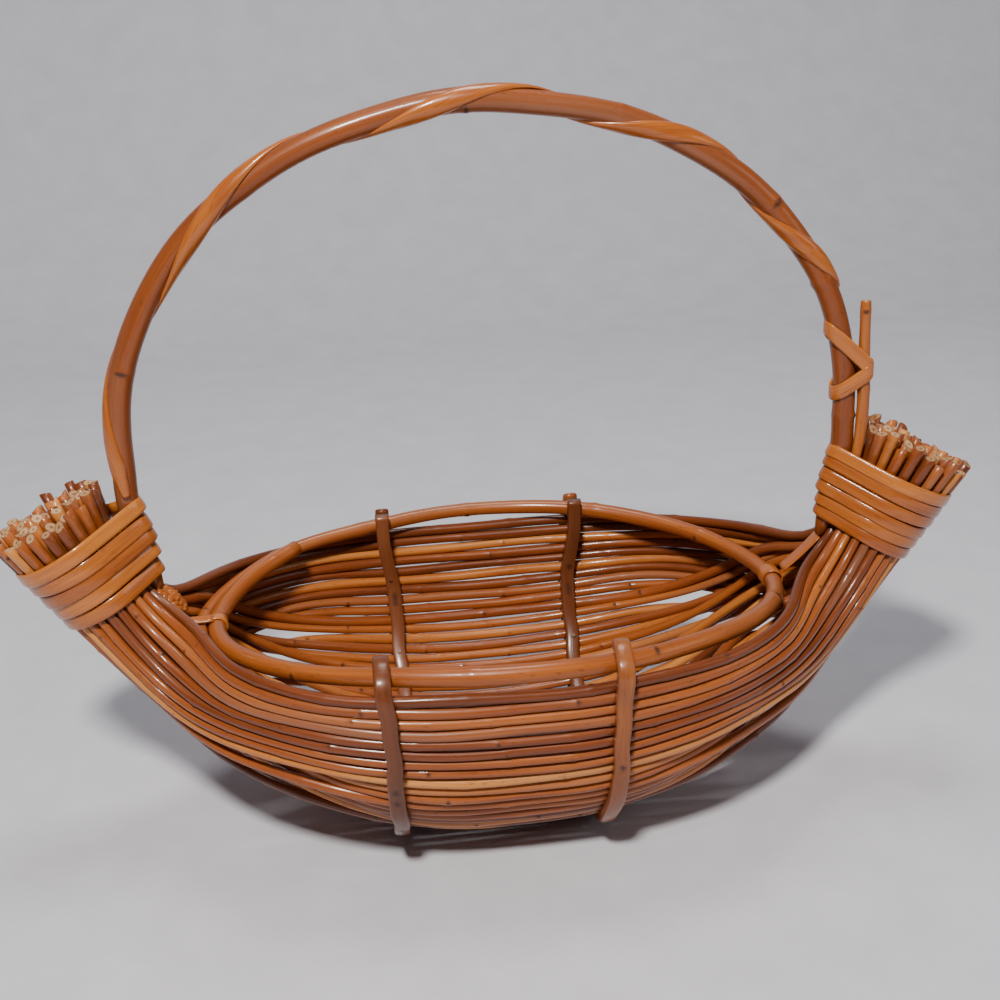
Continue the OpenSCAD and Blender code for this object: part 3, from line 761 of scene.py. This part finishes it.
# -------------------------------------------------------------------- collars
class Bundle:
    """One end's bundle: its axis, its width and the pole's foot beside it."""

    def __init__(self, sign, node):
        self.sign = sign
        starts, ends = [], []
        for r in rods:
            pts = r.points if sign > 0 else r.points[::-1]
            starts.append(pts[-2])
            ends.append(pts[-1])
        starts, ends = np.array(starts), np.array(ends)
        self.centre = starts.mean(axis=0)
        self.axis = unit((ends - starts).mean(axis=0))
        self.axis[1] = 0
        self.axis = unit(self.axis)
        self.across = np.array([0.0, 1.0, 0.0])
        self.inward = np.cross(self.across, self.axis) * -sign
        if self.inward[0] * sign > 0:
            self.inward = -self.inward
        ways = (ends - starts) / ((ends - starts) @ self.axis)[:, None]
        self.starts, self.ways = starts, ways
        self.rod_r = max(r.radii[-1] for r in rods)
        co = np.array([v.co[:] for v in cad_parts[node].data.vertices])
        along = (co - self.centre) @ self.axis
        self.low, self.high = along.min(), along.max()
        ts = np.linspace(0, pole.length, 2400)
        pts = pole.at(ts)
        keep = pts[:, 0] * sign > 0
        keep &= pts[:, 2] < self.centre[2] + 0.09
        self.foot_along = (pts[keep] - self.centre) @ self.axis
        self.foot_in = (pts[keep] - self.centre) @ self.inward
        self.foot_r = pole.radius(ts[keep])

    def reach(self, along):
        at = self.starts + self.ways * along - self.centre - self.axis * along
        return float(np.sort(np.linalg.norm(at, axis=1))[-16:].mean()) + self.rod_r

    def outline(self, along, angle, grow):
        order = np.argsort(self.foot_along)
        inward = float(np.interp(along, self.foot_along[order], self.foot_in[order]))
        radius = float(np.interp(along, self.foot_along[order], self.foot_r[order]))
        n = np.array([math.cos(angle), math.sin(angle)])
        wide = self.reach(along) + grow
        foot = inward * n[0] + radius + grow
        q = np.array([inward, 0]) + n * (radius + grow) if foot > wide else n * wide
        return self.centre + self.axis * along + self.inward * q[0] + self.across * q[1], (
            self.inward * n[0] + self.across * n[1])


bundle_left = Bundle(-1, "collar_left")
bundle_right = Bundle(1, "collar_right")


def even_ring(bundle, along_of, grow, steps):
    """Points evenly spaced round the bundle's outline, with their directions."""
    dense, facing = [], []
    for i in range(360):
        a = TURN * i / 360
        p, n = bundle.outline(along_of(a), a, grow)
        dense.append(p)
        facing.append(n)
    dense.append(dense[0])
    facing.append(facing[0])
    dense, facing = np.array(dense), np.array(facing)
    t = np.concatenate([[0], np.cumsum(np.linalg.norm(np.diff(dense, axis=0), axis=1))])
    want = np.linspace(0, t[-1], steps, endpoint=False)
    pts = np.stack([np.interp(want, t, dense[:, c]) for c in range(3)], axis=1)
    outs = np.stack([np.interp(want, t, facing[:, c]) for c in range(3)], axis=1)
    return pts, np.array([unit(o) for o in outs])


def collar(bundle, node, bands, seed):
    """Bands of flat cane side by side round a bundle and the pole's foot."""
    rng = random.Random(seed)
    piece = Piece(node + "_cane")
    width = (bundle.high - bundle.low) / bands * 1.01
    steps = 110
    for b in range(bands):
        middle = bundle.low + (bundle.high - bundle.low) * (b + 0.5) / bands
        tilt, where = rng.uniform(0.2, 0.9) * MM, rng.uniform(0, ANY_ANGLE)
        lift = (0.3 if b % 2 else 0.38) * MM  # every other band lies a little prouder
        sway = wobble(rng, 0.16 * MM, 3)

        def along_of(a, middle=middle, tilt=tilt, where=where):
            return middle + tilt * math.cos(a - where)

        pts, outs = even_ring(bundle, along_of, lift, steps)
        wides = []
        for i in range(steps):
            d = unit(pts[(i + 1) % steps] - pts[i - 1])
            out = unit(outs[i] - d * np.dot(outs[i], d))
            wides.append(np.cross(d, out))
            pts[i] = pts[i] + out * sway(0.17 * abs(math.sin(math.pi * i / steps)))
        add_cane(piece, rng, list(pts), list(outs), wides, width * rng.uniform(0.97, 1.04),
                 1.15 * MM, closed=True)
    return piece.build([cane_mat], [node])


collar(bundle_left, "collar_left", 5, 51)
collar(bundle_right, "collar_right", 6, 52)


# ---------------------------------------------------------------- handle wrap
# angle round the pole in degrees, from the wrap's start at the right to its end
WRAP_START, WRAP_RATE, WRAP_SLOWING = 431, 2013, 457


def handle_wrap():
    """Split cane wound round the pole, ending just above the side rod at the right leg."""
    rng = random.Random(61)
    piece = Piece("handle_wrap_cane")
    low_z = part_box("handle_wrap")[0].z
    ts = np.linspace(0, pole.length, 1600)
    at = pole.at(ts)
    top_of_side_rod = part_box("handle_side_rod")[1].z
    first = ts[at[:, 2] > low_z + 2 * MM].min()
    last = ts[(at[:, 2] > top_of_side_rod + 4 * MM)].max()
    steps = 520
    centres = [pole.at(last + (first - last) * i / steps) for i in range(steps + 1)]
    pts, outs, wides, taper = [], [], [], []
    for i in range(steps + 1):
        t = last + (first - last) * i / steps
        d = -pole.direction(t)
        u = np.array([0.0, 1.0, 0.0])
        v = np.cross(d, u)
        f = i / steps
        a = math.radians(WRAP_START + WRAP_RATE * f - WRAP_SLOWING * f * f)
        out = math.cos(a) * u - math.sin(a) * v
        r = float(pole.radius(t)) + 0.1 * MM
        pts.append(centres[i] + out * r)
        outs.append(out)
        taper.append(min(1, 0.4 + min(i, steps - i) / 26))
    for i in range(steps + 1):
        d = unit(pts[min(i + 1, steps)] - pts[max(i - 1, 0)])
        outs[i] = unit(outs[i] - d * np.dot(outs[i], d))
        wides.append(np.cross(d, outs[i]))
    add_curled(piece, rng, pts, outs, wides, 8.6 * MM, 1.5 * MM, 5.4 * MM, taper)
    piece.build([cane_mat], ["handle_wrap"])


def add_curled(piece, rng, pts, outs, wides, width, thick, radius, taper):
    """Cane whose width curls round the pole that it is wound on."""
    form = [(q / 5, h) for q, h in zip(range(-5, 6), (0.3, 0.7, 0.9, 1, 1, 1, 1, 1, 0.9, 0.7, 0.3))]
    n = len(pts)
    far = [rng.uniform(-5, 5) for _ in range(3)]
    points, grain, run = [], [], 0.0
    m = 2 * len(form)
    for i in range(n):
        run += np.linalg.norm(pts[i] - pts[i - 1]) if i else 0
        half = width / 2 * taper[i]
        for q, h in form:
            a = q * half / radius
            centre = pts[i] - outs[i] * radius
            way = outs[i] * math.cos(a) + wides[i] * math.sin(a)
            points.append(centre + way * (radius + thick * h))
            grain.append((far[0] + q * half, far[1] + thick, far[2] + run))
        for q, h in reversed(form):
            a = q * half / radius
            centre = pts[i] - outs[i] * radius
            way = outs[i] * math.cos(a) + wides[i] * math.sin(a)
            points.append(centre + way * (radius - 0.25 * MM))
            grain.append((far[0] + q * half, far[1], far[2] + run))
    faces = tube_faces(n, m) + end_faces(n, m)
    piece.add(points, faces, grain, rng.random())


handle_wrap()


# ----------------------------------------------------------------------- ties
def strap(piece, rng, parts, width, thick, shift=(0, 0, 0), tilt=0.0):
    """Closed flat band across Y round one or two round bars: (x, z, radius) each."""
    steps = 64
    pts, outs = [], []
    centre = np.array([sum(p[0] for p in parts), sum(p[1] for p in parts)]) / len(parts)
    for i in range(steps):
        a = TURN * i / steps
        n = np.array([math.cos(a), math.sin(a)])
        best = max(parts, key=lambda p: (np.array(p[:2]) - centre) @ n + p[2])
        q = np.array(best[:2]) + n * (best[2] + 0.3 * MM)
        pts.append(np.array([q[0] + shift[0], shift[1] + tilt * n[0], q[1] + shift[2]]))
        outs.append(np.array([n[0], 0.0, n[1]]))
    wides = [np.array([0.0, 1.0, 0.0])] * steps
    add_cane(piece, rng, pts, outs, wides, width, thick, closed=True)


def ribbon(piece, rng, points, out, width, thick):
    """Flat strip along a smooth line through a few points."""
    line = smooth_line(points, 2 * MM)
    n = len(line)
    outs, wides = [], []
    for i in range(n):
        d = unit(line[min(i + 1, n - 1)] - line[max(i - 1, 0)])
        o = unit(np.array(out, float) - d * np.dot(out, d))
        outs.append(o)
        wides.append(np.cross(d, o))
    add_cane(piece, rng, line, outs, wides, width, thick)


def ties():
    """Straps round the hoop's two ends, the left braid and the right foot's strip."""
    ts = np.linspace(0, hoop.length, 1600)
    at = hoop.at(ts)
    left = [i for i in range(1, len(ts)) if at[i][0] < 0 and at[i - 1][1] * at[i][1] <= 0]
    right = [i for i in range(1, len(ts)) if at[i][0] > 0 and at[i - 1][1] * at[i][1] <= 0]
    left_bars = [(at[i][0], at[i][2], float(hoop.radius(ts[i]))) for i in left]
    right_bars = [(at[i][0], at[i][2], float(hoop.radius(ts[i]))) for i in right]

    piece = Piece("rim_tie_left_cane")
    strap(piece, random.Random(71), left_bars, 5.2 * MM, 0.8 * MM, tilt=0.5 * MM)
    piece.build([cane_mat], ["rim_tie_left"])

    piece = Piece("rim_tie_right_cane")
    strap(piece, random.Random(72), right_bars, 9.5 * MM, 0.8 * MM, tilt=-0.8 * MM)
    piece.build([cane_mat], ["rim_tie_right"])

    low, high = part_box("braid_left")
    top = np.array([low.x + 1.9 * MM, -1.0 * MM, high.z + 0.5 * MM])
    bottom = np.array([high.x - 3.5 * MM, -3.5 * MM, low.z + 6.5 * MM])
    piece = Piece("braid_left_cane")
    rng = random.Random(73)
    way = unit(bottom - top)
    out = unit(np.cross(np.cross(way, np.array([0.25, -0.5, 1.0])), way))
    aside = np.cross(way, out)
    length = np.linalg.norm(bottom - top)
    for strand in range(3):
        line = []
        for i in range(31):
            f = i / 30
            a = TURN * (f * 1.7 + strand / 3)
            line.append(top + way * length * f + aside * 2.5 * MM * math.sin(a)
                        + out * (0.9 * MM * math.sin(2 * a) + 1.5 * MM * math.sin(math.pi * f)))
        ribbon(piece, rng, line, out, 3.7 * MM, 1.0 * MM)
    # the strap's tucked end runs from the hoop to the foot of the braid
    edge = min(bar[0] - bar[2] for bar in left_bars)
    high_z = max(bar[1] + bar[2] for bar in left_bars) + 0.8 * MM
    ribbon(piece, rng, [np.array([edge + 9 * MM, -2.5 * MM, high_z]), np.array([edge, -3.2 * MM, high_z]),
                        np.array([edge - 8 * MM, -4.5 * MM, high_z + 1.2 * MM])],
           (0, -0.3, 1), 4.6 * MM, 0.9 * MM)
    piece.build([cane_mat], ["braid_left"])

    low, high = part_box("foot_tie_right")
    piece = Piece("foot_tie_right_cane")
    start = np.array([low.x + 0.5 * MM, 0, low.z + 0.5 * MM])
    stop = np.array([high.x - 0.5 * MM, 0, high.z - 0.5 * MM])
    ribbon(piece, random.Random(74), [start, (start + stop) / 2 + np.array([0, 0, -0.6 * MM]), stop],
           (-1, 0, 1), 8 * MM, 1.0 * MM)
    piece.build([cane_mat], ["foot_tie_right"])


ties()


def side_rod_tie():
    """Two crossing turns of cane round the pole's right leg and the side rod."""
    low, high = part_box("side_rod_tie")
    middle = (low.z + high.z) / 2
    piece = Piece("side_rod_tie_cane")
    rng = random.Random(75)
    pole_ts = np.linspace(0.5 * pole.length, pole.length, 900)
    side_ts = np.linspace(0, side_rod.length, 500)
    pole_at, side_at = pole.at(pole_ts), side_rod.at(side_ts)

    def bars(z):
        i = int(np.abs(pole_at[:, 2] - z).argmin())
        j = int(np.abs(side_at[:, 2] - z).argmin())
        on_pole = (pole_at[i], float(pole.radius(pole_ts[i])))
        return on_pole, (side_at[j], float(side_rod.radius(side_ts[j])))

    steps = 120
    meet = middle + 12 * MM
    for lift, slope, proud in ((2.5 * MM, 0.95, 0.3 * MM), (-2.5 * MM, -0.7, 0.6 * MM)):
        pts, outs = [], []
        side_mid = bars(meet)[1][0]
        for i in range(steps):
            a = TURN * i / steps
            n = np.array([math.cos(a), math.sin(a), 0.0])
            z = meet + lift
            for _ in range(3):
                best = max(bars(z), key=lambda bar: bar[0] @ n + bar[1])
                p = best[0] + n * (best[1] * 1.02 + proud)
                z = meet + lift + slope * (side_mid[0] - p[0])
            pts.append(np.array([p[0], p[1], z]))
            outs.append(n)
        closed = Path(pts + pts[:1], [0] * (steps + 1))
        line = [closed.at(closed.length * i / steps) for i in range(steps)]
        near = [int(np.argmin([np.linalg.norm(q - p) for q in pts])) for p in line]
        outs = [outs[k] for k in near]
        wides = []
        for i in range(steps):
            d = unit(line[(i + 1) % steps] - line[i - 1])
            outs[i] = unit(outs[i] - d * np.dot(outs[i], d))
            wides.append(np.cross(d, outs[i]))
        add_cane(piece, rng, line, outs, wides, 6.6 * MM, 0.9 * MM, closed=True)
    piece.build([cane_mat], ["side_rod_tie"])


side_rod_tie()


# ------------------------------------------------- floor, light and the camera
def stage():
    floor_mat, tree, bsdf = shader("pale_floor", 0.0, 0.5, 0.2)
    coords = tree.nodes.new("ShaderNodeTexCoord").outputs["Object"]
    mottle = noise(tree, coords, (30, 30, 30), 4, 0.6)
    tree.links.new(ramp(tree, mottle, [(0.3, (0.54, 0.545, 0.60)), (0.7, (0.59, 0.595, 0.65))]),
                   bsdf.inputs["Base Color"])
    bsdf.inputs["Roughness"].default_value = 0.75
    half, back, bend, top, steps = 3.0, 1.3, 0.5, 2.4, 16
    outline = [(-2.5, 0.0), (back - bend, 0.0)]
    outline += [(back - bend + bend * math.sin(math.pi / 2 * i / steps),
                 bend - bend * math.cos(math.pi / 2 * i / steps)) for i in range(1, steps + 1)]
    outline.append((back, top))
    points = [(x, y, z) for y, z in outline for x in (-half, half)]
    faces = [(2 * i, 2 * i + 1, 2 * i + 3, 2 * i + 2) for i in range(len(outline) - 1)]
    mesh = bpy.data.meshes.new("studio_floor")
    mesh.from_pydata(points, [], faces)
    mesh.polygons.foreach_set("use_smooth", [True] * len(faces))
    mesh.materials.append(floor_mat)
    floor = bpy.data.objects.new("studio_floor", mesh)
    bpy.context.scene.collection.objects.link(floor)


def area_light(name, place, target, size, power, colour):
    data = bpy.data.lights.new(name, "AREA")
    data.shape = "DISK"
    data.size = size
    data.energy = power
    data.color = colour
    light = bpy.data.objects.new(name, data)
    light.location = place
    light.rotation_euler = (Vector(target) - Vector(place)).to_track_quat("-Z", "Y").to_euler()
    bpy.context.scene.collection.objects.link(light)


def lights():
    area_light("key", (-0.3, -1.0, 1.4), (0, 0, 0.1), 0.2, 40, (1.0, 0.95, 0.88))
    area_light("fill_right", (1.3, -0.7, 0.8), (0, 0, 0.1), 0.7, 2.5, (0.95, 0.97, 1.0))
    area_light("top", (0.1, 0.3, 1.6), (0, 0, 0.1), 0.5, 9, (1.0, 0.97, 0.94))
    world = bpy.data.worlds.new("studio_air")
    world.use_nodes = True
    world.node_tree.nodes["Background"].inputs[0].default_value = (0.80, 0.81, 0.85, 1)
    world.node_tree.nodes["Background"].inputs[1].default_value = 0.1
    bpy.context.scene.world = world


def camera():
    yaw, pitch, roll = math.radians(6.49), math.radians(21.37), math.radians(-2.30)
    ahead = Vector((math.sin(yaw) * math.cos(pitch), math.cos(yaw) * math.cos(pitch), -math.sin(pitch)))
    right = Vector((math.cos(yaw), -math.sin(yaw), 0))
    up = right.cross(ahead)
    right_rolled = math.cos(roll) * right + math.sin(roll) * up
    up_rolled = -math.sin(roll) * right + math.cos(roll) * up
    data = bpy.data.cameras.new("photo_view")
    data.lens = 53.4
    data.sensor_width = 36
    data.dof.use_dof = False
    cam = bpy.data.objects.new("photo_view", data)
    cam.matrix_world = Matrix.Translation((-0.0681, -0.6191, 0.3914)) @ Matrix(
        (right_rolled, up_rolled, -ahead)).transposed().to_4x4()
    bpy.context.scene.collection.objects.link(cam)
    bpy.context.scene.camera = cam


stage()
lights()
camera()
